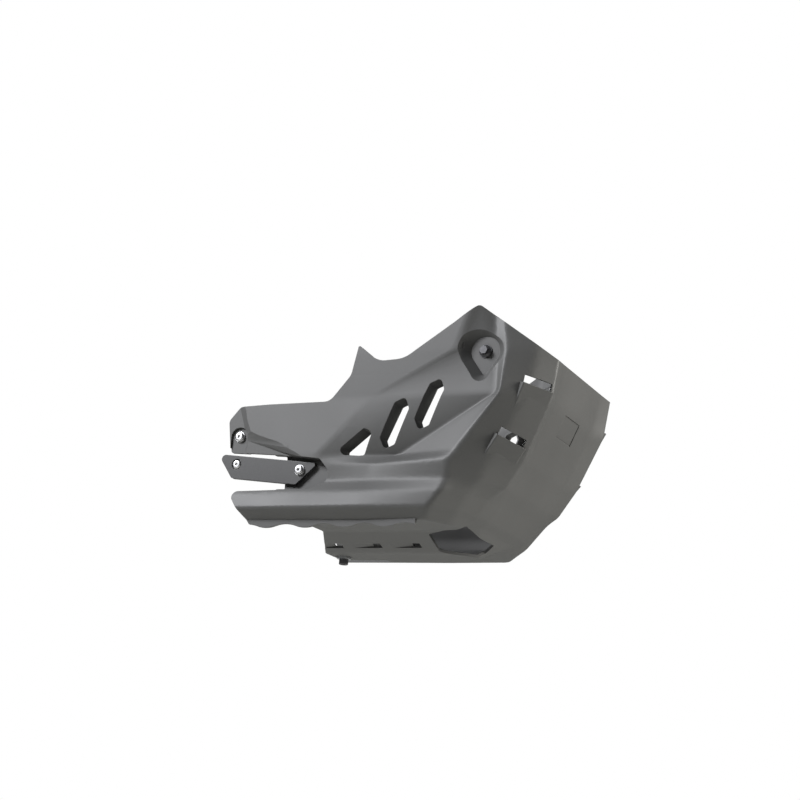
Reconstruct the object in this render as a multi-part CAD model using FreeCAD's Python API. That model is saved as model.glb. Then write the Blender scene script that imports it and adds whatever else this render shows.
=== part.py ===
"""Motorcycle skid plate: a moulded polymer tub with two bracket strips and its fasteners.

Millimetres, X forward, Y to the left, Z up. The right half is modelled and mirrored. Inside this
file heights count from just under the belly; the finished pieces are moved so that the origin is
the middle of the belly bolt's free end.
"""
import FreeCAD
import Part
import math
import os

V = FreeCAD.Vector

# Moulding
wall = 4.0
crease_reach = 14.0
ridge_reach = 5.0
nose_reach = 30.0
hem_reach = 9.0
poles_per_line = 3

# Heights of the moulded lines, from the belly
top_height = 330.0
rim_height = 256.0
apex_height = 194.0
lip_height = 116.0
flank_ridge_height = 102.0
groove_height = 79.0
flank_height = 62.0
turn_height = 40.0
hem_height = 25.0
shelf_rise = 1.0
belly_height = 5.0
chin_rise = 6.0

# Half widths of the moulding
upper_half_width = 150.0
flank_half_width = 170.0
valley_depth = 16.0
groove_depth = 12.0
ridge_half_width = 106.0
panel_half_width = 74.0
tray_half_width = 78.0
belly_half_width = 26.0
keel_half_width = 10.0

# Lengths
tail_length = 310.0
nose_length = 193.0
tray_length = 184.0
tray_side_length = 154.0
tray_chamfer = 11.0
tray_half_cut = 146.0

# Vent slots in the side
slot_length = 64.0
slot_width = 15.0
slot_point = 8.0
slot_lean = 67.0
slot_step_forward = 49.0
slot_step_up = 24.5
slot_middle_x = -25.7
slot_middle_z = 157.3
slot_rim_depth = 8.0
slot_bevel = 3.0
slot_corner = 1.5

# Louvres beside the nose
louvre_width = 40.0
louvre_gap = 11.0
louvre_spin = -18.0
upper_louvre_x = 166.0
upper_louvre_z = 211.0
lower_louvre_x = 135.0
lower_louvre_z = 139.0
hood_height = 5.0
hood_length = 33.0
hood_round = 2.5

# Tray windows, filter opening and plain badge recess
window_width = 13.0
window_height = 11.0
window_rise = 11.6
window_front_x = -27.3
window_pitch = 59.3
window_count = 3
window_ramp_length = 30.0
window_ramp_depth = 2.2
filter_corner = 3.0
filter_top = 45.0
badge_width = 56.0
badge_height = 32.0
badge_rise = 178.0
badge_depth = 1.2

# Wavy lip under the flank
wave_start = -247.0
wave_pitch = 59.0
wave_halves = 9
wave_height = 5.0
wave_level = 18.5
lip_inset = 17.0

# Front fixing, in a drop-shaped pocket
front_fix_x = 93.0
front_fix_z = 255.0
front_seat = 134.0
front_pocket_depth = 10.0
front_pocket_radius = 20.0
front_pocket_tip = 34.0
front_pocket_draft = 9.0
front_tip_radius = 3.0

# Rear fixing, in a shallow relief that is open downwards, on the sunken tail lobe
rear_fix_x = -260.0
rear_fix_z = 145.0
rear_seat = 144.5
lobe_seat = 147.5
lobe_slope = 24.0
lobe_slope_rise = 10.0
rear_relief_radius = 13.0
tail_lobe_bottom = 110.0

# Bracket strip and its fixings
bracket_width = 32.0
bracket_thickness = 6.0
bracket_slope = 6.0
bracket_pitch = 100.0
bracket_rear_reach = 132.0
bracket_front_reach = 25.0
bracket_end_lean = 28.0
bracket_top = 12.0
bracket_fix_x = -162.0
bracket_fix_z = 96.0
bracket_seat = 140.0
counterbore_depth = 2.5

# Belly fixing, ahead of the tray's tail
belly_fix_inset = 26.0

# Fasteners
large_shank = 8.0
small_shank = 6.0
hole_clearance = 0.4
fit_clearance = 0.2
head_clearance = 2.0
washer_thickness = 1.6
large_washer = 18.0
small_washer = 15.0
collar_wall = 1.8
collar_flange = 1.5
collar_flange_reach = 4.0
button_head = 13.0
button_height = 3.6
button_round = 2.4
flange_head = 17.0
flange_neck = 12.0
flange_taper = 2.5
flange_flats = 10.0
flange_height = 7.0
cap_head = 13.0
cap_height = 8.0
cap_chamfer = 0.8
socket_flats = 4.0
cap_socket_flats = 6.0
socket_depth = 2.0
cap_socket_depth = 4.0
shank_chamfer = 0.8
thread_loss = 0.5
nut_flats = 10.0
nut_height = 5.0
nut_tail = 2.0
free_length = 24.0
spacer_length = 22.0
spacer_wall = 4.0
belly_flange = 3.0
belly_spacer_length = 5.0

# Room for tools that cut right through, the shortest straight run between two roundings, the
# nearness that counts as the same place, and how the skin is drawn and searched
clear = 20.0
edge_land = 0.5
touch = 0.01
longest_round = 0.4
search_steps = 12


def mirrored(shape):
    """The left-hand copy of a right-hand shape."""
    return shape.mirror(V(0, 0, 0), V(0, 1, 0))


def both(shapes):
    """Right-hand shapes with their left-hand copies."""
    return shapes + [mirrored(shape) for shape in shapes]


def rounded(corners, place):
    """A closed wire through corners (a, b, radius), each rounded by its radius."""
    points = [V(a, b, 0) for a, b, _ in corners]
    spans = []
    for index, (_, _, radius) in enumerate(corners):
        here = points[index]
        back = (points[index - 1] - here).normalize()
        ahead = (points[(index + 1) % len(points)] - here).normalize()
        half = back.getAngle(ahead) / 2
        middle = (back + ahead).normalize()
        start = here + back * (radius / math.tan(half))
        end = here + ahead * (radius / math.tan(half))
        crown = here + middle * (radius / math.sin(half) - radius)
        spans.append((place(start), place(crown), place(end), radius))
    edges = []
    for index, (start, crown, end, radius) in enumerate(spans):
        edges.append(Part.LineSegment(spans[index - 1][2], start).toShape())
        if radius > 0:
            edges.append(Part.Arc(start, crown, end).toShape())
    return Part.Wire(Part.__sortEdges__(edges))


def side_plane(half_width):
    """Puts (forward, up) points on a right-hand plane that faces sideways."""
    return lambda point: V(point.x, -half_width, point.y)


def slab(corners, near, far):
    """A side-on outline (forward, up, radius) carried across from one half width to another."""
    face = Part.Face(rounded(corners, side_plane(near)))
    return face.extrude(V(0, near - far, 0))


def upright(corners, low, high):
    """A plan outline (forward, left, radius) carried up from one height to another."""
    face = Part.Face(rounded(corners, lambda point: V(point.x, point.y, low)))
    return face.extrude(V(0, 0, high - low))


def funnel(corners, near, far, growth, margin):
    """A side-on outline that grows on its way out, widened all round by a margin."""
    wires = []
    for half_width, wider in ((near, margin), (far, margin + growth)):
        wire = rounded(corners, side_plane(half_width))
        wires.append(wire.makeOffset2D(wider) if wider else wire)
    return Part.makeLoft(wires, True, True)


# Each moulded line runs from the rim down to the belly: (forward, half width) on every row, with a
# height of its own where the chin rises out of the row.
upper = upper_half_width
flank = flank_half_width
tray = tray_half_width
belly = belly_half_width
keel = keel_half_width
edge = ridge_half_width
panel = panel_half_width
nose = nose_length
tail = -tail_length
belly_fix_x = belly_fix_inset - tray_length
groove = flank - groove_depth
valley = upper - valley_depth
row_heights = [top_height, rim_height, apex_height, lip_height, flank_ridge_height, groove_height,
               flank_height, turn_height, hem_height, hem_height + shelf_rise, belly_height, belly_height]
hem = hem_height + chin_rise
moulded_lines = [
    # Tail of the side
    [(tail, upper), (tail, upper), (tail, upper), (tail, upper + 2), (tail, upper + 2), (tail, groove - 6),
     (tail, flank - 8), (tail, flank - 3), (tail, flank - 20), (tail, tray), (tail, belly), (tail, keel)],
    # Crest between the upper side and the slotted band
    [(80, upper - 2), (56, upper), (-62, upper), (-134, upper + 4), (-140, upper + 4), (-145, groove - 6),
     (-150, flank - 7), (-150, flank), (-150, flank - 18), (-150, tray), (-150, belly), (-150, keel)],
    # Valley between the slotted band and the flank
    [(98, valley), (112, valley + 6), (118, valley + 16), (-22, valley + 2), (-52, upper), (-55, groove - 6),
     (-60, flank - 6), (-60, flank), (-60, flank - 16), (-60, tray), (-60, belly), (-60, keel)],
    # Corner where the side turns to the louvred panel
    [(112, valley - 2), (128, valley + 12), (126, valley + 22), (72, flank - 8), (62, flank - 5),
     (60, flank - 10), (56, flank - 5), (40, flank - 5), (30, flank - 19), (20, tray), (15, belly),
     (12, keel)],
    # Fold down the middle of the louvred panel
    [(154, edge + 17), (163, edge + 25), (155, edge + 28), (114, edge + 28), (105, edge + 29),
     (96, edge + 26), (82, edge + 27), (66, edge + 22), (52, edge + 10), (40, tray - 6), (30, belly - 4),
     (22, keel - 1)],
    # Ridge beside the front panel
    [(nose - 5, edge), (nose - 5, edge), (nose - 13, edge - 1), (nose - 47, edge - 6), (nose - 56, edge - 7),
     (nose - 71, edge - 8), (nose - 96, edge - 9), (nose - 114, edge - 14), (nose - 128, edge - 22, hem),
     (nose - 137, tray - 18, hem - 8), (nose - 154, belly - 9), (nose - 166, keel - 3)],
    # Edge of the front panel, which is sunk between the ridges
    [(nose - 5, panel), (nose - 7, panel), (nose - 22, panel), (nose - 55, panel - 2),
     (nose - 63, panel - 3), (nose - 76, panel - 4), (nose - 92, panel - 6), (nose - 108, panel - 12),
     (nose - 122, panel - 20, hem), (nose - 132, panel - 34, hem - 10), (nose - 150, belly - 16),
     (nose - 165, keel - 6)],
    # Middle of the front panel
    [(nose - 4, 0), (nose - 7, 0), (nose - 21, 0), (nose - 55, 0), (nose - 63, 0), (nose - 75, 0),
     (nose - 92, 0), (nose - 108, 0), (nose - 122, 0, hem), (nose - 131, 0, hem - 11), (nose - 149, 0),
     (nose - 164, 0)],
]
line_reaches = [0, crease_reach, crease_reach, crease_reach, crease_reach, ridge_reach, crease_reach]
row_reaches = [0, crease_reach, crease_reach, hem_reach, hem_reach, hem_reach, hem_reach, hem_reach,
               hem_reach, hem_reach, hem_reach, 0]


def softened(line, reaches):
    """Control points that keep a line's runs straight and round its corners over each reach."""
    points = [line[0]]
    for before, here, after, reach in zip(line, line[1:], line[2:], reaches[1:]):
        for neighbour in (before, after):
            run = neighbour - here
            points.append(here + run * min(reach / run.Length, longest_round))
        points.insert(-1, here)
    return points + [line[-1]]


def control_net():
    """Rows of control points round the whole tub, from the right tail over the nose to the left tail."""
    rows = []
    for row, height in enumerate(row_heights):
        right = []
        for line in moulded_lines:
            forward, half_width, *own_height = line[row]
            right.append(V(forward, -half_width, own_height[0] if own_height else height))
        left = [V(point.x, -point.y, point.z) for point in reversed(right[:-1])]
        reaches = line_reaches + [nose_reach] + line_reaches[::-1]
        rows.append(softened(right + left, reaches))
    columns = [softened(list(column), row_reaches) for column in zip(*rows)]
    return [list(row) for row in zip(*columns)]


def moulded_surface(net):
    """A smooth surface drawn by a control net, quadratic both ways."""
    counts = (len(net), len(net[0]))
    multiplicities = [[3] + [1] * (count - 3) + [3] for count in counts]
    knots = [[float(step) for step in range(count - 1)] for count in counts]
    surface = Part.BSplineSurface()
    surface.buildFromPolesMultsKnots(net, multiplicities[0], multiplicities[1], knots[0], knots[1],
                                     False, False, 2, 2)
    return surface


def station(index, count):
    """The place along a quadratic surface that a control point rules most."""
    return (min(max(index - 1, 0), count - 2) + min(index, count - 2)) / 2


def inset_net(net, depth):
    """The net moved inwards by a wall, and past the open top and tail."""
    moved = []
    for i, row in enumerate(net):
        u = station(i, len(net))
        moved.append([])
        for j, pole in enumerate(row):
            v = station(j, len(row))
            moved[-1].append(pole - skin.normal(u, v) * outward_sign * depth)
    for point in moved[0]:
        point.z = top_height + depth
    for point in moved[-1]:
        point.z = belly_height + depth
    for row in moved:
        row[0].x = tail - depth
        row[-1].x = tail - depth
    return moved


def facet_ends(first, last):
    """Where a moulded surface is parted along one way: between its lines, in the straight runs."""
    inner = [first + lines * poles_per_line for lines in range(1, int((last - first) / poles_per_line))]
    return [first] + inner + [last]


def capped(surface):
    """The solid inside a moulded surface, facet by facet, closed flat at its top, tail and belly."""
    u_first, u_last, v_first, v_last = surface.bounds()
    u_ends = facet_ends(u_first, u_last)
    v_ends = facet_ends(v_first, v_last)
    facets = []
    top, bottom, right, left = [], [], [], []
    for u_low, u_high in zip(u_ends, u_ends[1:]):
        for v_low, v_high in zip(v_ends, v_ends[1:]):
            facet = surface.copy()
            facet.segment(u_low, u_high, v_low, v_high)
            facets.append(facet.toShape())
            if u_low == u_first:
                top.append(facet.uIso(u_low))
            if u_high == u_last:
                bottom.append(facet.uIso(u_high))
            if v_low == v_first:
                right.append(facet.vIso(v_low))
            if v_high == v_last:
                left.append(facet.vIso(v_high))
    top_bridge = Part.LineSegment(right[0].StartPoint, left[0].StartPoint)
    bottom_bridge = Part.LineSegment(right[-1].EndPoint, left[-1].EndPoint)
    tail_ring = right + left + [top_bridge, bottom_bridge]
    for curves in (top + [top_bridge], bottom + [bottom_bridge], tail_ring):
        edges = [curve.toShape() for curve in curves]
        facets.append(Part.Face(Part.Wire(Part.__sortEdges__(edges))))
    shell = Part.makeShell(facets)
    shell.sewShape()
    return Part.makeSolid(shell)


net = control_net()
skin = moulded_surface(net)
nose_normal = skin.normal(station(len(net) // 2, len(net)), station(len(net[0]) // 2, len(net[0])))
outward_sign = 1 if nose_normal.x > 0 else -1
hull = capped(skin)
cavity = capped(moulded_surface(inset_net(net, wall)))


def on_skin(guess, free):
    """The place on the skin found by letting one coordinate of a guess slide, and the way out there."""
    for _ in range(search_steps):
        u, v = skin.parameter(guess)
        setattr(guess, free, getattr(skin.value(u, v), free))
    return skin.value(u, v), skin.normal(u, v) * outward_sign


def level_frame(point, out):
    """A frame on the skin: the place, the level way along the panel and the way out."""
    return point, V(0, 0, 1).cross(out).normalize(), out


def hood_frame(point, out):
    """A frame on the skin that follows the panel from a louvre's lip down to its foot."""
    _, along, _ = level_frame(point, out)
    foot, _ = on_skin(point - out.cross(along) * hood_length, "y")
    up = (point - foot).normalize()
    along = up.cross(out).normalize()
    return point, along, along.cross(up)


def on_panel(shape, frame, spin=0.0):
    """Sets a shape on the skin: its X along the panel, its Y up the panel and its Z outwards."""
    point, along, out = frame
    facing = FreeCAD.Rotation(along, out.cross(along), out, "ZXY")
    turned = facing.multiply(FreeCAD.Rotation(V(0, 0, 1), spin))
    shape.Placement = FreeCAD.Placement(point, turned)
    return shape


def block(width, height, low, high):
    """A box about the panel point, from one depth to another."""
    return Part.makeBox(width, height, high - low, V(-width / 2, -height / 2, low))


def window_ramp():
    """The shallow ramp behind a tray window, deepest at the window."""
    window_edge = -window_width / 2
    profile = [V(window_edge, 0, -window_ramp_depth), V(window_edge, 0, clear / 2),
               V(window_edge - window_ramp_length, 0, clear / 2), V(window_edge - window_ramp_length, 0, 0)]
    face = Part.Face(Part.makePolygon(profile + profile[:1]))
    return face.translated(V(0, -window_height / 2, 0)).extrude(V(0, window_height, 0))


def wedge(half_width, lip, foot, floor, lip_top, foot_top):
    """A hood shape: full height at the lip, running out to nothing at the foot."""
    profile = [V(-half_width, lip, floor), V(-half_width, lip, lip_top), V(-half_width, foot, foot_top),
               V(-half_width, foot, floor)]
    face = Part.Face(Part.makePolygon(profile + profile[:1]))
    body = face.extrude(V(2 * half_width, 0, 0))
    brow_z = (lip_top + foot_top) / 2
    brow = [side for side in body.Edges if abs(side.CenterOfMass.z - brow_z) < touch]
    ends = [side for side in brow if abs(abs(side.CenterOfMass.x) - half_width) < touch]
    return body.makeFillet(hood_round, ends)


# Outline of the tub from the side: tail lobes, clutch scallop, horn, dip, peak and rim
side_outline = [(-272, 123, 4), (-279, 168, 10), (-263, 187, 8), (-216, 189, 30), (-124, 190, 18),
                (-95, 226, 20), (-87, 268, 2), (-56, 244, 30), (-18, 246, 40), (52, 294, 30),
                (84, 318, 6), (240, 209, 0), (240, -30, 0), (-190, -30, 0), (-262, 65, 8),
                (-186, 66, 4), (-186, 117, 4)]
bracket_pocket = [(-200, 67, 0), (-139, 67, 10), (-117, 79, 8), (-116, 94, 8), (-130, 110, 6),
                  (-200, 118, 0)]
tail_lobe = [(-330, 100, 0), (-330, 215, 0), (-266, 215, 0), (-264, 188, 6), (-247, 139, 8),
             (-152, 108, 4), (-152, 100, 0)]
filter_outline = [(1, -70, filter_corner), (62, -88, filter_corner), (64, 10, filter_corner),
                  (51, 12, filter_corner), (1, -32, filter_corner)]
tray_tail = [(2 * tail, clear, 0), (-tray_length, clear, 0), (-tray_length, 0, 0),
             (-tray_side_length, -tray, 0), (-tray_side_length, -tray_half_cut, 0),
             (2 * tail, -tray_half_cut, 0)]
slot_half = slot_length / 2
slot_run = slot_half - slot_point
slot_side = [(-slot_half, 0), (-slot_run, slot_width / 2), (slot_run, slot_width / 2), (slot_half, 0),
             (slot_run, -slot_width / 2), (-slot_run, -slot_width / 2)]
short_slot = [(-98, 122, slot_corner), (-68, 147, slot_corner), (-62, 144, slot_corner),
              (-71, 118, slot_corner), (-95, 119, slot_corner)]


def slot_outline(step):
    """A pointed slot leaning along the band, a number of steps from the middle slot."""
    lean = math.radians(slot_lean)
    middle_x = slot_middle_x + step * slot_step_forward
    middle_z = slot_middle_z + step * slot_step_up
    corners = []
    for a, b in slot_side:
        x = middle_x + a * math.cos(lean) - b * math.sin(lean)
        z = middle_z + a * math.sin(lean) + b * math.cos(lean)
        corners.append((x, z, slot_corner))
    return corners


def drop_outline():
    """The drop-shaped floor of a front pocket, with its point down."""
    tip_z = front_fix_z - front_pocket_tip
    crown_z = front_fix_z + front_pocket_radius
    half_angle = math.asin(front_pocket_radius / front_pocket_tip)
    shoulder = (front_pocket_radius + front_pocket_tip) * math.tan(half_angle)
    crown_radius = front_pocket_radius - edge_land
    return [(front_fix_x, tip_z, front_tip_radius), (front_fix_x + shoulder, crown_z, crown_radius),
            (front_fix_x - shoulder, crown_z, crown_radius)]


def relief_outline(margin):
    """The round-topped relief of a rear fixing, open downwards."""
    half = rear_relief_radius + margin
    rear_x = rear_fix_x - half
    front_x = rear_fix_x + half
    return [(rear_x, tail_lobe_bottom, 0), (rear_x, rear_fix_z + half, half - edge_land),
            (front_x, rear_fix_z + half, half - edge_land), (front_x, tail_lobe_bottom, 0)]


def wavy_lip():
    """The skirt under the flank with its wavy lower edge."""
    start = V(wave_start, lip_inset - flank, wave_level)
    top = V(0, 0, hem_height + wall / 2 - wave_level)
    edges = []
    here = start
    for half in range(wave_halves):
        there = here + V(wave_pitch / 2, 0, 0)
        swing = wave_height / 2 if half % 2 == 0 else -wave_height / 2
        edges.append(Part.Arc(here, (here + there) * 0.5 + V(0, 0, swing), there).toShape())
        here = there
    for first, last in ((here, here + top), (here + top, start + top), (start + top, start)):
        edges.append(Part.LineSegment(first, last).toShape())
    return Part.Face(Part.Wire(edges)).extrude(V(0, wall, 0))


# Bosses and hoods that are moulded on, and the cuts that are made through them
half_outline = slab(side_outline, 0, flank + clear)
half_hull = hull.common(half_outline)
hoods = []
cuts = []
drop = drop_outline()
drop_deep = 2 * front_pocket_depth
bosses = [funnel(drop, front_seat - wall, front_seat + front_pocket_depth, front_pocket_draft, wall),
          slab(relief_outline(wall), rear_seat - wall, rear_seat + wall),
          funnel(tail_lobe, lobe_seat - wall, lobe_seat + lobe_slope_rise, lobe_slope, wall),
          funnel(bracket_pocket, bracket_seat - wall, flank + wall, 0, wall)]
cuts.append(funnel(drop, front_seat, front_seat + drop_deep, 2 * front_pocket_draft, 0))
cuts.append(slab(relief_outline(0), rear_seat, rear_seat + clear))
cuts.append(funnel(tail_lobe, lobe_seat, lobe_seat + lobe_slope_rise, lobe_slope, 0))
cuts.append(slab(bracket_pocket, bracket_seat, flank + clear))
for outline in (short_slot, slot_outline(0), slot_outline(1)):
    throat = valley - wall - slot_rim_depth / 2
    mouth = throat + 3 * slot_rim_depth
    bosses.append(funnel(outline, throat, mouth, slot_bevel, wall))
    cuts.append(funnel(outline, throat - clear, mouth + clear, 2 * slot_bevel, 0))
for louvre_x, louvre_z in ((upper_louvre_x, upper_louvre_z), (lower_louvre_x, lower_louvre_z)):
    frame = hood_frame(*on_skin(V(louvre_x, -valley, louvre_z), "y"))
    half = louvre_width / 2
    lip = -louvre_gap / 2
    hood = wedge(half + wall, lip, lip - hood_length, -wall, hood_height, -wall / 2)
    hoods.append(on_panel(hood, frame, louvre_spin))
    hollow = wedge(half, lip, wall + lip - hood_length, -clear, hood_height - wall, -1.5 * wall)
    cuts.append(on_panel(hollow, frame, louvre_spin))
    cuts.append(on_panel(block(louvre_width, louvre_gap, -clear, clear), frame, louvre_spin))
for step in range(window_count):
    window_x = window_front_x - step * window_pitch
    frame = level_frame(*on_skin(V(window_x, -(tray + belly) / 2, window_rise), "y"))
    cuts.append(on_panel(block(window_width, window_height, -clear / 2, clear / 2), frame))
    cuts.append(on_panel(window_ramp(), frame))

# Holes for the fixings
collar_large = large_shank + hole_clearance + 2 * collar_wall
collar_small = small_shank + hole_clearance + 2 * collar_wall
for x, z, diameter in ((front_fix_x, front_fix_z, collar_large), (rear_fix_x, rear_fix_z, collar_small),
                       (bracket_fix_x, bracket_fix_z, small_shank)):
    radius = (diameter + fit_clearance) / 2 if diameter != small_shank else (diameter + hole_clearance) / 2
    cuts.append(Part.makeCylinder(radius, flank, V(x, -flank, z), V(0, 1, 0)))
belly_start = V(belly_fix_x, 0, belly_height - clear / 2)
cuts.append(Part.makeCylinder((collar_large + fit_clearance) / 2, clear, belly_start))

moulded_on = hoods + [boss.common(half_hull) for boss in bosses]
tub = half_hull.cut(cavity).fuse(moulded_on)
chamfer_top = belly_height + tray_chamfer
tail_cut = [(2 * tail, chamfer_top - 2 * clear, 0), (2 * clear - tray_length, chamfer_top - 2 * clear, 0),
            (-tray_length, chamfer_top, 0), (-tray_length, flank_height, 0), (2 * tail, flank_height, 0)]
badge_frame = level_frame(*on_skin(V(nose, 0, badge_rise), "x"))
badge = on_panel(block(badge_width, badge_height, -badge_depth, clear), badge_frame)
tail_cuts = [slab(tail_cut, -clear, tray_half_cut), upright(tray_tail, -clear, flank_height)]
tub = tub.cut(cuts + tail_cuts + [badge])
tub = tub.fuse([mirrored(tub), wavy_lip().common(half_outline)])
tub = tub.cut(upright(filter_outline, -clear, filter_top))


def ring(outer, bore, low, high):
    """A plain tube or washer along Z."""
    body = Part.makeCylinder(outer / 2, high - low, V(0, 0, low))
    return body.cut(Part.makeCylinder(bore / 2, high - low, V(0, 0, low)))


def hexagon(flats, low, high):
    """A hexagonal prism along Z."""
    reach = flats / math.sqrt(3)
    turns = [side * math.pi / 3 for side in range(7)]
    corners = [V(reach * math.cos(turn), reach * math.sin(turn), low) for turn in turns]
    return Part.Face(Part.makePolygon(corners)).extrude(V(0, 0, high - low))


def shank(diameter, low, threaded, high):
    """A bolt shank along Z: a plain grip, then a thread that is a little slimmer, with a chamfered end."""
    thread = diameter / 2 - thread_loss
    tip = Part.makeCone(thread - shank_chamfer, thread, shank_chamfer, V(0, 0, low))
    screw = Part.makeCylinder(thread, threaded - shank_chamfer, V(0, 0, low + shank_chamfer))
    grip = Part.makeCylinder(diameter / 2, high - low - threaded, V(0, 0, low + threaded))
    return grip.fuse([screw, tip])


def top_rim(body):
    """The outer edge of a head's top."""
    top = max(face.CenterOfMass.z for face in body.Faces)
    return [rim for rim in body.Edges if rim.BoundBox.ZMin > top - touch and rim.Closed]


def button_bolt(seat, low, threaded):
    """A button-head socket bolt."""
    head = Part.makeCylinder(button_head / 2, button_height, V(0, 0, seat))
    head = head.makeFillet(button_round, top_rim(head))
    socket = hexagon(socket_flats, seat + button_height - socket_depth, seat + button_height)
    return head.cut(socket).fuse(shank(small_shank, low, threaded, seat)).removeSplitter()


def cap_bolt(seat, low, threaded):
    """A socket cap bolt."""
    head = Part.makeCylinder(cap_head / 2, cap_height, V(0, 0, seat))
    head = head.makeChamfer(cap_chamfer, top_rim(head))
    socket = hexagon(cap_socket_flats, seat + cap_height - cap_socket_depth, seat + cap_height)
    return head.cut(socket).fuse(shank(large_shank, low, threaded, seat)).removeSplitter()


def flange_bolt(seat, low, threaded):
    """A hexagon bolt with a flange under its head."""
    flange = Part.makeCone(flange_head / 2, flange_neck / 2, flange_taper, V(0, 0, seat))
    head = flange.fuse(hexagon(flange_flats, seat, seat + flange_height))
    return head.fuse(shank(large_shank, low, threaded, seat)).removeSplitter()


def flanged_collar(outer, bore, flange_low, flange_high):
    """A collar that lines the wall, from its outer face to its inner one, with a flange on one side."""
    tube = ring(outer, bore, -wall, 0)
    return tube.fuse(ring(outer + 2 * collar_flange_reach, bore, flange_low, flange_high)).removeSplitter()


def seated(shape, x, half_width, z, out):
    """A fastener made along Z set on its seat, pointing outwards."""
    shape.Placement = FreeCAD.Placement(V(x, -half_width, z), FreeCAD.Rotation(V(0, 0, 1), out))
    return shape


sideways = V(0, -1, 0)
downwards = V(0, 0, -1)
large_bore = large_shank + hole_clearance
small_bore = small_shank + hole_clearance
behind_wall = -wall - collar_flange

# Strip: corners (along, up, radius) about its front hole, on a line that drops forwards
slope = math.radians(bracket_slope)


def along_strip(along, up):
    """A place on the strip as (forward, up)."""
    forward = bracket_fix_x + along * math.cos(slope) + up * math.sin(slope)
    return forward, bracket_fix_z - along * math.sin(slope) + up * math.cos(slope)


strip_corners = [(-bracket_rear_reach, bracket_top, 6), (bracket_front_reach, bracket_top, 3),
                 (bracket_front_reach - bracket_end_lean, bracket_top - bracket_width, 4),
                 (bracket_end_lean - bracket_rear_reach, bracket_top - bracket_width, 6)]
strip_outline = [along_strip(along, up) + (radius,) for along, up, radius in strip_corners]
bracket_face = bracket_seat + bracket_thickness
strip = slab(strip_outline, bracket_seat, bracket_face)
rear_x, rear_z = along_strip(-bracket_pitch, 0)
for x, z in ((bracket_fix_x, bracket_fix_z), (rear_x, rear_z)):
    strip = strip.cut(Part.makeCylinder(small_bore / 2, flank, V(x, -flank, z), V(0, 1, 0)))
counterbore = Part.makeCylinder((button_head + head_clearance) / 2, counterbore_depth,
                                V(rear_x, -bracket_face, rear_z), V(0, 1, 0))
strip = strip.cut(counterbore)

front = (front_fix_x, front_seat, front_fix_z, sideways)
rear = (rear_fix_x, rear_seat, rear_fix_z, sideways)
strip_front = (bracket_fix_x, bracket_face, bracket_fix_z, sideways)
strip_rear = (rear_x, bracket_face, rear_z, sideways)
under = (belly_fix_x, 0, belly_height, downwards)
pad_back = -bracket_thickness - wall
spacer_end = -bracket_thickness - spacer_length
belly_end = -wall - belly_spacer_length
screw_low = behind_wall - free_length
nut = hexagon(nut_flats, pad_back - nut_height, pad_back)
nut = nut.cut(Part.makeCylinder(small_bore / 2, clear, V(0, 0, pad_back - clear)))
nut_screw = nut_height + nut_tail
rear_spacer = ring(small_bore + 2 * spacer_wall, small_bore, spacer_end, -bracket_thickness)
rear_screw_low = spacer_end - free_length
pieces = {
    "skid_plate_shell": [tub],
    "rear_bracket_right": [strip],
    "rear_bracket_left": [mirrored(strip)],
    "front_bolts": both([seated(flange_bolt(washer_thickness, screw_low, free_length), *front)]),
    "front_washers": both([seated(ring(large_washer, large_bore, 0, washer_thickness), *front)]),
    "front_collars": both([seated(flanged_collar(collar_large, large_bore, behind_wall, -wall), *front)]),
    "rear_bolts": both([seated(button_bolt(washer_thickness, screw_low, free_length), *rear)]),
    "rear_washers": both([seated(ring(small_washer, small_bore, 0, washer_thickness), *rear)]),
    "rear_collars": both([seated(flanged_collar(collar_small, small_bore, behind_wall, -wall), *rear)]),
    "bracket_rear_bolts": both([seated(button_bolt(-counterbore_depth, rear_screw_low, free_length),
                                       *strip_rear)]),
    "bracket_rear_spacers": both([seated(rear_spacer, *strip_rear)]),
    "bracket_front_bolts": both([seated(button_bolt(washer_thickness, pad_back - nut_screw, nut_screw),
                                        *strip_front)]),
    "bracket_front_washers": both([seated(ring(small_washer, small_bore, 0, washer_thickness),
                                          *strip_front)]),
    "bracket_front_nuts": both([seated(nut, *strip_front)]),
    "belly_bolt": [seated(cap_bolt(belly_flange, belly_end - free_length, free_length), *under)],
    "belly_collar": [seated(flanged_collar(collar_large, large_bore, 0, belly_flange), *under)],
    "belly_spacer": [seated(ring(large_bore + 2 * spacer_wall, large_bore, belly_end, -wall), *under)],
}

# Origin at the middle of the belly bolt's free end, where the part is held
held_z = belly_height + wall + belly_spacer_length + (free_length - shank_chamfer) / 2
shift = V(-belly_fix_x, 0, -held_z)
os.makedirs("parts", exist_ok=True)
for name, solids in pieces.items():
    moved = [solid.translated(shift) for solid in solids]
    shape = moved[0] if len(moved) == 1 else Part.makeCompound(moved)
    shape.exportStep("parts/" + name + ".step")
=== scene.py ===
"""Looks of the motorcycle skid plate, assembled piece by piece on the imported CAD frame."""

import math

import bmesh
import bpy
from mathutils import Matrix, Vector


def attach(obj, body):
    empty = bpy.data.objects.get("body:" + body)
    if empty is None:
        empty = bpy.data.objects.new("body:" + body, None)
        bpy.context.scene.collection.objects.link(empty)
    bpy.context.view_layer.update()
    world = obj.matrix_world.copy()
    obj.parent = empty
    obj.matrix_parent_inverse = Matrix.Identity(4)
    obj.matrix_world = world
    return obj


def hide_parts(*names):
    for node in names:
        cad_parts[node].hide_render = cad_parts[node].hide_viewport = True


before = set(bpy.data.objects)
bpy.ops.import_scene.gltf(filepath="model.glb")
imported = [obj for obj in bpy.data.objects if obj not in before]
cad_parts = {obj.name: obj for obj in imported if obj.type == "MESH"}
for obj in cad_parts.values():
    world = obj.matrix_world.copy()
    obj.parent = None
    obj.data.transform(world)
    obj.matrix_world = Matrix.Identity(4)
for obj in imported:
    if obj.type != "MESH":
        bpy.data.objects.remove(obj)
scene = bpy.context.scene
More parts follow.
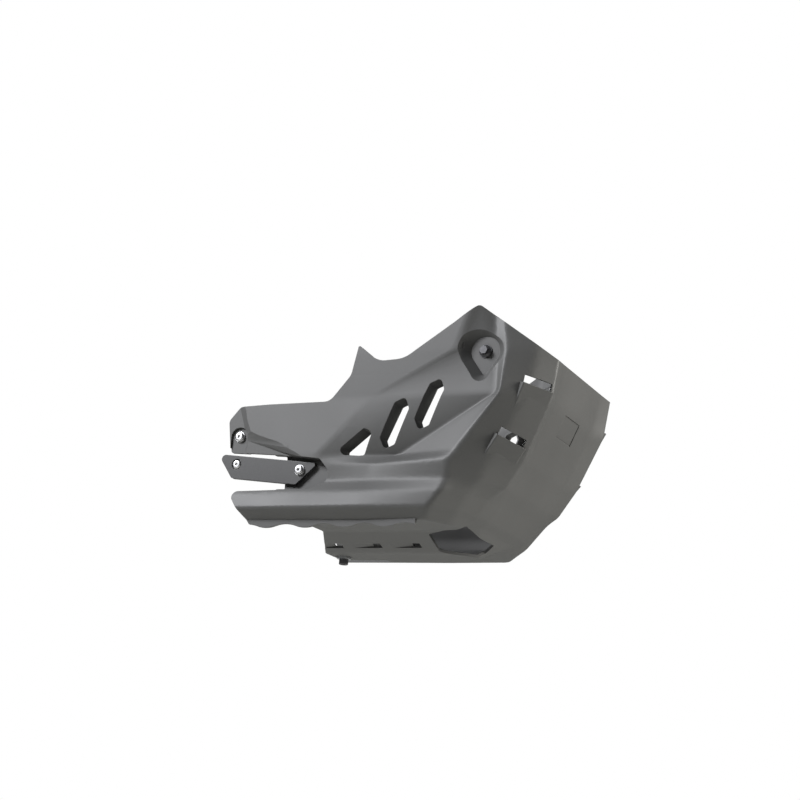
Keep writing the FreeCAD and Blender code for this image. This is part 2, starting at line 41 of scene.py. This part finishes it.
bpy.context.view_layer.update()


def colour(hex_code):
    """A colour written as sRGB, in the linear values that shaders take."""
    levels = [int(hex_code[i:i + 2], 16) / 255 for i in (1, 3, 5)]
    return [v / 12.92 if v <= 0.04045 else ((v + 0.055) / 1.055) ** 2.4 for v in levels] + [1.0]


def node(tree, kind, settings=None, links=None):
    """Adds a shader or geometry node, sets its sockets or settings, and joins its inputs."""
    made = tree.nodes.new(kind)
    for key, value in (settings or {}).items():
        if isinstance(key, int) or key in made.inputs:
            made.inputs[key].default_value = value
        else:
            setattr(made, key, value)
    for key, source in (links or {}).items():
        tree.links.new(source, made.inputs[key])
    return made


def new_material(name):
    """A material, with its tree, its main shader and the object's own coordinates."""
    made = bpy.data.materials.new(name)
    made.use_nodes = True
    tree = made.node_tree
    place = node(tree, "ShaderNodeTexCoord").outputs["Object"]
    return made, tree, tree.nodes["Principled BSDF"], place


# Camera: below and ahead of the right side, rolled a little, as the plate was seen.
camera = bpy.data.objects.new("camera", bpy.data.cameras.new("camera"))
camera.data.sensor_width = 36.0
camera.data.lens = 85.5
camera.data.clip_end = 50.0
stand = Vector((1.19877, -2.35531, -0.47448))
forward = Vector((-0.4192, 0.8724, 0.2520)).normalized()
level = Vector((0.9072, 0.4132, 0.0789))
right = (level - forward * level.dot(forward)).normalized()
up = right.cross(forward)
aim = Matrix((right, up, -forward)).transposed()
camera.matrix_world = Matrix.Translation(stand) @ aim.to_4x4()
scene.collection.objects.link(camera)
scene.camera = camera

# Studio: a pale level floor well below the plate, which is shown held up as on its machine. Far
# out the floor runs into the white of the backdrop.
reach = 6.0
floor_level = -0.9
fade_start = 0.95
fade_end = 2.2
corners = [(x * reach, y * reach, floor_level) for x, y in ((-1, -1), (1, -1), (1, 1), (-1, 1))]
floor_mesh = bpy.data.meshes.new("floor")
floor_mesh.from_pydata(corners, [], [(0, 1, 2, 3)])
floor = bpy.data.objects.new("floor", floor_mesh)
scene.collection.objects.link(floor)
floor_paint, tree, shader, place = new_material("matt white floor paint")
shader.inputs["Base Color"].default_value = colour("#c6c6c2")
shader.inputs["Roughness"].default_value = 0.9
away = node(tree, "ShaderNodeVectorMath", {"operation": "LENGTH"}, {0: place})
fade = node(tree, "ShaderNodeMapRange",
            {"interpolation_type": "SMOOTHSTEP", "From Min": fade_start, "From Max": fade_end},
            {"Value": away.outputs["Value"]})
seen = node(tree, "ShaderNodeLightPath")
share = node(tree, "ShaderNodeMath", {"operation": "MULTIPLY"},
             {0: fade.outputs["Result"], 1: seen.outputs["Is Camera Ray"]})
glow = node(tree, "ShaderNodeEmission", {"Color": colour("#ffffff"), "Strength": 1.0})
blend = node(tree, "ShaderNodeMixShader", None,
             {0: share.outputs["Value"], 1: shader.outputs["BSDF"], 2: glow.outputs["Emission"]})
tree.links.new(blend.outputs["Shader"], tree.nodes["Material Output"].inputs["Surface"])
floor_mesh.materials.append(floor_paint)

# White backdrop for the camera, softer grey light for everything else.
world = bpy.data.worlds.new("studio")
world.use_nodes = True
scene.world = world
sky = world.node_tree
sky.nodes.clear()
seen = node(sky, "ShaderNodeLightPath")
soft = node(sky, "ShaderNodeBackground", {"Color": colour("#dfe2e6"), "Strength": 0.12})
white = node(sky, "ShaderNodeBackground", {"Color": colour("#ffffff"), "Strength": 1.0})
backdrop = node(sky, "ShaderNodeMixShader", None,
                {0: seen.outputs["Is Camera Ray"], 1: soft.outputs[0], 2: white.outputs[0]})
node(sky, "ShaderNodeOutputWorld", None, {"Surface": backdrop.outputs[0]})
scene.view_settings.view_transform = "Standard"

# Three soft boxes, each aimed at the middle of the plate.
plate_middle = Vector((0.1, 0.0, 0.13))
for name, stand, size, power, tone in (
        ("key high over the right side", (-1.4, -1.9, 1.6), 0.9, 102.0, "#fafbff"),
        ("broad light ahead of the nose", (2.5, 0.5, 0.8), 1.2, 80.0, "#fffdf8"),
        ("rim light behind the left side", (-1.4, 1.9, 1.3), 1.0, 62.0, "#ffffff")):
    light = bpy.data.lights.new(name, "AREA")
    light.size = size
    light.energy = power
    light.color = colour(tone)[:3]
    box = bpy.data.objects.new(name, light)
    box.location = stand
    box.rotation_euler = (plate_middle - box.location).to_track_quat("-Z", "Y").to_euler()
    scene.collection.objects.link(box)

weld_gap = 0.00002
shell_crease = 9.0
metal_crease = 12.0


def smooth_copy(name, crease):
    """A merged, smooth-shaded copy of a CAD node, sharp where its faces meet at a crease or more."""
    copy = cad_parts[name].copy()
    copy.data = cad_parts[name].data.copy()
    copy.name = name + "_look"
    copy.parent = None
    scene.collection.objects.link(copy)
    copy.data.materials.clear()
    copied_normals = copy.data.attributes.get("custom_normal")
    if copied_normals:
        copy.data.attributes.remove(copied_normals)
    form = bmesh.new()
    form.from_mesh(copy.data)
    for border in form.edges:
        border.seam = border.is_boundary
    bmesh.ops.remove_doubles(form, verts=form.verts, dist=weld_gap)
    for face in form.faces:
        face.smooth = True
    for border in form.edges:
        border.smooth = not border.seam or border.calc_face_angle(0.0) < math.radians(crease)
        border.seam = False
    form.to_mesh(copy.data)
    form.free()
    flats = copy.modifiers.new("flats", "WEIGHTED_NORMAL")
    flats.keep_sharp = True
    copy.data = baked(copy)
    return copy


def baked(made):
    """The mesh that an object's modifiers make, with the modifiers taken off."""
    depsgraph = bpy.context.evaluated_depsgraph_get()
    mesh = bpy.data.meshes.new_from_object(made.evaluated_get(depsgraph))
    made.modifiers.clear()
    return mesh


def finished(copy, name, material):
    """Gives a piece its material and puts it in the place of its CAD node."""
    copy.data.materials.clear()
    copy.data.materials.append(material)
    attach(copy, "root")
    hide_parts(name)


def mottled(tree, place, scale, detail, dark, light):
    """A colour that wanders between two tones, and the noise that it follows."""
    noise = node(tree, "ShaderNodeTexNoise", {"Scale": scale, "Detail": detail}, {"Vector": place})
    tint = node(tree, "ShaderNodeMixRGB", {"Color1": colour(dark), "Color2": colour(light)},
                {"Fac": noise.outputs["Fac"]})
    return tint.outputs["Color"], noise.outputs["Fac"]


def rounded_edges(tree, radius, samples):
    """Normals softened at the edges, and a value that falls below 1 where they are turned."""
    rounded = node(tree, "ShaderNodeBevel", {"samples": samples, "Radius": radius})
    facing = node(tree, "ShaderNodeNewGeometry")
    turned = node(tree, "ShaderNodeVectorMath", {"operation": "DOT_PRODUCT"},
                  {0: rounded.outputs["Normal"], 1: facing.outputs["Normal"]})
    return rounded.outputs["Normal"], turned.outputs["Value"]


# Shell: one moulding of dark grey polymer with a fine spark grain, a slow change of tone, a
# little pale scuffing on its edges and painted shade darkening its corners and recesses. It is
# made hollow and hangs on the bolts below.
polymer, tree, shader, place = new_material("grained grey polymer")
tint, mottle = mottled(tree, place, 9.0, 5.0, "#4b4b4a", "#565655")
normal, turned = rounded_edges(tree, 0.0009, 8)
edge = node(tree, "ShaderNodeMapRange",
            {"From Min": 0.99, "From Max": 0.8, "To Min": 0.0, "To Max": 1.0}, {"Value": turned})
rubs = node(tree, "ShaderNodeTexNoise", {"Scale": 55.0, "Detail": 6.0}, {"Vector": place})
patchy = node(tree, "ShaderNodeMapRange",
              {"From Min": 0.42, "From Max": 0.68, "To Min": 0.1, "To Max": 0.7},
              {"Value": rubs.outputs["Fac"]})
wear = node(tree, "ShaderNodeMath", {"operation": "MULTIPLY"},
            {0: edge.outputs["Result"], 1: patchy.outputs["Result"]})
worn = node(tree, "ShaderNodeMixRGB", {"Color2": colour("#8b8b88")},
            {"Fac": wear.outputs["Value"], "Color1": tint})
# Painted shade: ambient occlusion darkens the colour in corners, creases and recesses, where shade falls.
ambient_occlusion = node(tree, "ShaderNodeAmbientOcclusion", {"samples": 8, "Distance": 0.005})
painted_shade_mask = node(tree, "ShaderNodeMapRange",
            {"From Min": 0.5, "From Max": 0.95, "To Min": 0.8, "To Max": 0.0},
            {"Value": ambient_occlusion.outputs["AO"]})
shade_darkened_colour = node(tree, "ShaderNodeMixRGB", {"Color2": colour("#262523")},
              {"Fac": painted_shade_mask.outputs["Result"], "Color1": worn.outputs["Color"]})
grain = node(tree, "ShaderNodeTexNoise", {"Scale": 1500.0, "Detail": 2.0}, {"Vector": place})
bump = node(tree, "ShaderNodeBump", {"Strength": 0.14, "Distance": 0.0002},
            {"Height": grain.outputs["Fac"], "Normal": normal})
sheen = node(tree, "ShaderNodeMapRange", {"To Min": 0.46, "To Max": 0.6}, {"Value": mottle})
tree.links.new(shade_darkened_colour.outputs["Color"], shader.inputs["Base Color"])
tree.links.new(bump.outputs["Normal"], shader.inputs["Normal"])
tree.links.new(sheen.outputs["Result"], shader.inputs["Roughness"])
finished(smooth_copy("skid_plate_shell", shell_crease), "skid_plate_shell", polymer)

# Bracket strips: flat steel bars, laser cut and painted satin black with the paint rubbed paler
# at the edges. Each is bolted into a side pocket of the shell.
paint, tree, shader, place = new_material("satin black paint on steel")
tint, orange_peel = mottled(tree, place, 600.0, 2.0, "#3c3c3c", "#454545")
normal, turned = rounded_edges(tree, 0.0008, 6)
edge = node(tree, "ShaderNodeMapRange",
            {"From Min": 0.99, "From Max": 0.75, "To Min": 0.0, "To Max": 0.6}, {"Value": turned})
rubbed = node(tree, "ShaderNodeMixRGB", {"Color2": colour("#7c7c7b")},
              {"Fac": edge.outputs["Result"], "Color1": tint})
bump = node(tree, "ShaderNodeBump", {"Strength": 0.06, "Distance": 0.0002},
            {"Height": orange_peel, "Normal": normal})
tree.links.new(rubbed.outputs["Color"], shader.inputs["Base Color"])
tree.links.new(bump.outputs["Normal"], shader.inputs["Normal"])
shader.inputs["Roughness"].default_value = 0.42
for name in ("rear_bracket_right", "rear_bracket_left"):
    finished(smooth_copy(name, metal_crease), name, paint)

# Screw threads: rolled ridges wound along the bolts' free ends. The group winds one ridge, sets it
# on every bolt of a node and joins it to the bolts.
thread = bpy.data.node_groups.new("rolled thread", "GeometryNodeTree")
thread.interface.new_socket("Geometry", in_out="OUTPUT", socket_type="NodeSocketGeometry")
socket = {}
for name, kind in (("Bolts", "Geometry"), ("Middle", "Vector"), ("Turn", "Vector"), ("Count", "Int"),
                   ("Radius", "Float"), ("Length", "Float"), ("Pitch", "Float"), ("Finish", "Material")):
    made = thread.interface.new_socket(name, in_out="INPUT", socket_type="NodeSocket" + kind)
    socket[name] = made.identifier
given = node(thread, "NodeGroupInput")
turns = node(thread, "ShaderNodeMath", {"operation": "DIVIDE"},
             {0: given.outputs["Length"], 1: given.outputs["Pitch"]})
path = node(thread, "GeometryNodeCurveSpiral", {"Resolution": 20},
            {"Rotations": turns.outputs[0], "Start Radius": given.outputs["Radius"],
             "End Radius": given.outputs["Radius"], "Height": given.outputs["Length"]})
flank = node(thread, "ShaderNodeMath", {"operation": "MULTIPLY", 1: 0.4}, {0: given.outputs["Pitch"]})
profile = node(thread, "GeometryNodeCurvePrimitiveCircle", {"Resolution": 4},
               {"Radius": flank.outputs[0]})
ridge = node(thread, "GeometryNodeCurveToMesh", {"Fill Caps": True},
             {"Curve": path.outputs[0], "Profile Curve": profile.outputs[0]})
drop = node(thread, "ShaderNodeMath", {"operation": "MULTIPLY", 1: -0.5}, {0: given.outputs["Length"]})
lowered = node(thread, "ShaderNodeCombineXYZ", None, {"Z": drop.outputs[0]})
centred = node(thread, "GeometryNodeTransform", None,
               {"Geometry": ridge.outputs[0], "Translation": lowered.outputs[0]})
index = node(thread, "GeometryNodeInputIndex")
side = node(thread, "ShaderNodeMath", {"operation": "MULTIPLY_ADD", 1: -2.0, 2: 1.0},
            {0: index.outputs[0]})
mirror = node(thread, "ShaderNodeCombineXYZ", {"X": 1.0, "Z": 1.0}, {"Y": side.outputs[0]})
spot = node(thread, "ShaderNodeVectorMath", {"operation": "MULTIPLY"},
            {0: given.outputs["Middle"], 1: mirror.outputs[0]})
points = node(thread, "GeometryNodePoints", None,
              {"Count": given.outputs["Count"], "Position": spot.outputs[0]})
wound = node(thread, "GeometryNodeInstanceOnPoints", None,
             {"Points": points.outputs[0], "Instance": centred.outputs[0],
              "Rotation": given.outputs["Turn"]})
joined = node(thread, "GeometryNodeJoinGeometry")
thread.links.new(given.outputs["Bolts"], joined.inputs[0])
thread.links.new(wound.outputs[0], joined.inputs[0])
solid = node(thread, "GeometryNodeRealizeInstances", None, {"Geometry": joined.outputs[0]})
dressed = node(thread, "GeometryNodeSetMaterial", None,
               {"Geometry": solid.outputs[0], "Material": given.outputs["Finish"]})
node(thread, "NodeGroupOutput", None, {0: dressed.outputs[0]})

thread_length = 0.0222
m6 = {"Radius": 0.0025, "Pitch": 0.001}
m8 = {"Radius": 0.0035, "Pitch": 0.00125}
across = (-math.pi / 2, 0.0, 0.0)
upright = (0.0, 0.0, 0.0)


def threaded(copy, middle, turn, count, size, finish):
    """Winds the thread on the free ends of a node's bolts and bakes it into their mesh."""
    winding = copy.modifiers.new("thread", "NODES")
    winding.node_group = thread
    values = {"Middle": middle, "Turn": turn, "Count": count, "Length": thread_length,
              "Finish": finish, **size}
    for name, value in values.items():
        winding[socket[name]] = value
    copy.data = baked(copy)
    return copy


def new_metal(name, grain, dark, light, metallic, gloss, edge):
    """A metal whose tone and gloss follow a fine noise, with its edges softly rounded."""
    made, tree, shader, place = new_material(name)
    scale, detail = grain
    tint, noise = mottled(tree, place, scale, detail, dark, light)
    dull = node(tree, "ShaderNodeMapRange", {"To Min": gloss[0], "To Max": gloss[1]}, {"Value": noise})
    rounded = node(tree, "ShaderNodeBevel", {"samples": 4, "Radius": edge})
    tree.links.new(tint, shader.inputs["Base Color"])
    tree.links.new(dull.outputs["Result"], shader.inputs["Roughness"])
    tree.links.new(rounded.outputs["Normal"], shader.inputs["Normal"])
    shader.inputs["Metallic"].default_value = metallic
    return made


# Rear bolts: button heads of zinc-plated steel, cold headed and rolled, with a faint brushed
# sheen. One pair holds the tail lobes to the frame, the other the strips' rear ends.
zinc = new_metal("bright zinc-plated steel", (900.0, 3.0), "#c9c9ca", "#e2e2e2", 1.0, (0.24, 0.4), 0.0003)
for name, middle in (("rear_bolts", (-0.102, -0.1274, 0.1194)),
                     ("bracket_rear_bolts", (-0.103452, -0.1064, 0.080853))):
    bolts = threaded(smooth_copy(name, metal_crease), middle, across, 2, m6, zinc)
    finished(bolts, name, zinc)

# Rear washers and the strips' front fixings: zinc-plated steel, stamped or cold headed. The short
# bolts go through strip and shell into nuts behind the wall, with washers between.
for name in ("rear_washers", "bracket_front_bolts", "bracket_front_washers", "bracket_front_nuts"):
    finished(smooth_copy(name, metal_crease), name, zinc)

# Front bolts: flanged bolts of black-oxide steel, forged and rolled. They sit on washers at the
# bottom of the drop-shaped pockets and go into the frame.
oxide = new_metal("black-oxide steel", (300.0, 3.0), "#4a4a4c", "#626264", 0.6, (0.42, 0.42), 0.0004)
front_end = (0.251, -0.1169, 0.2294)
bolts = threaded(smooth_copy("front_bolts", metal_crease), front_end, across, 2, m8, oxide)
finished(bolts, "front_bolts", oxide)

# Belly bolt: a socket cap bolt of black-oxide steel, forged and rolled. It goes up through the
# tail of the tray into the engine, and the middle of its free end is the origin.
belly_end = (0.0, 0.0, 0.0)
bolts = threaded(smooth_copy("belly_bolt", metal_crease), belly_end, upright, 1, m8, oxide)
finished(bolts, "belly_bolt", oxide)

# Front washers: stamped rings of black-oxide steel under the front bolts' flanges.
finished(smooth_copy("front_washers", metal_crease), "front_washers", oxide)

# Collars and spacers: turned aluminium tubes that carry the clamp load past the polymer. The
# collars line the shell's holes; the spacers stand between the plate and the frame.
alloy = new_metal("turned aluminium", (700.0, 2.0), "#bfc0c2", "#d3d4d6", 1.0, (0.36, 0.36), 0.0003)
for name in ("front_collars", "rear_collars", "bracket_rear_spacers", "belly_collar", "belly_spacer"):
    finished(smooth_copy(name, metal_crease), name, alloy)
